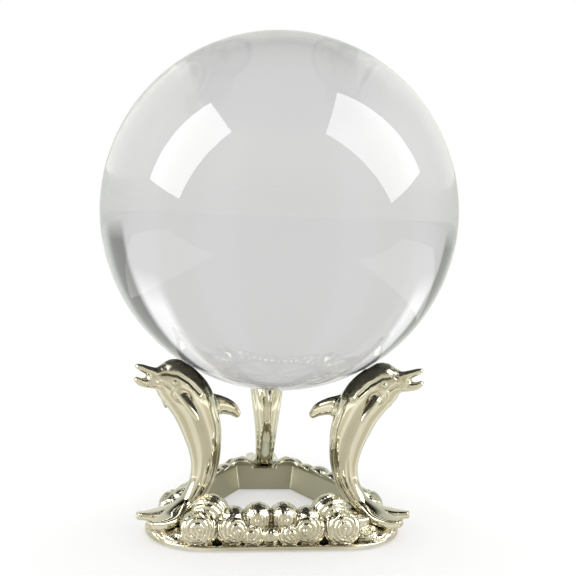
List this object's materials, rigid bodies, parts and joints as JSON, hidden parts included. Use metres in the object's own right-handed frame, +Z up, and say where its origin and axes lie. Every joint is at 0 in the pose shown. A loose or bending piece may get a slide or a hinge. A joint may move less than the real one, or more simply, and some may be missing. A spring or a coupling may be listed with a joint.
{
  "type": "crystal ball on a dolphin stand",
  "caption": "Clear glass ball resting loose on a plated cast stand of leaping dolphins on a wave-carved ring base.",
  "frame": {"origin": "centre of the stand, on the plane of its feet", "axes": "+Z up through the centre of the ball, front of the stand towards -Y, one dolphin at +Y"},
  "size_m": [0.11, 0.11, 0.1513],
  "materials": {
    "crystal": "polished clear optical glass",
    "champagne_chrome": "bright champagne nickel plating on a zinc alloy casting",
    "zinc_plated_steel": "zinc plated",
    "clear_silicone": "clear soft silicone"
  },
  "bodies": {
    "stand": {"base_ring": "champagne_chrome", "dolphin_back": "champagne_chrome", "fixing_screw_back": "zinc_plated_steel", "spring_washer_back": "zinc_plated_steel", "contact_pad_back": "clear_silicone", "rubber_foot_back_a": "clear_silicone", "rubber_foot_back_b": "clear_silicone", "dolphin_left": "champagne_chrome", "fixing_screw_left": "zinc_plated_steel", "spring_washer_left": "zinc_plated_steel", "contact_pad_left": "clear_silicone", "rubber_foot_left_a": "clear_silicone", "rubber_foot_left_b": "clear_silicone", "dolphin_right": "champagne_chrome", "fixing_screw_right": "zinc_plated_steel", "spring_washer_right": "zinc_plated_steel", "contact_pad_right": "clear_silicone", "rubber_foot_right_a": "clear_silicone", "rubber_foot_right_b": "clear_silicone"},
    "ball": {"crystal_ball": "crystal"}
  },
  "joints": [
    {"name": "ball_lift", "type": "slide", "parent": "stand", "child": "ball", "axis": [0, 0, 1], "range_m": [0, 0.06]}
  ]
}
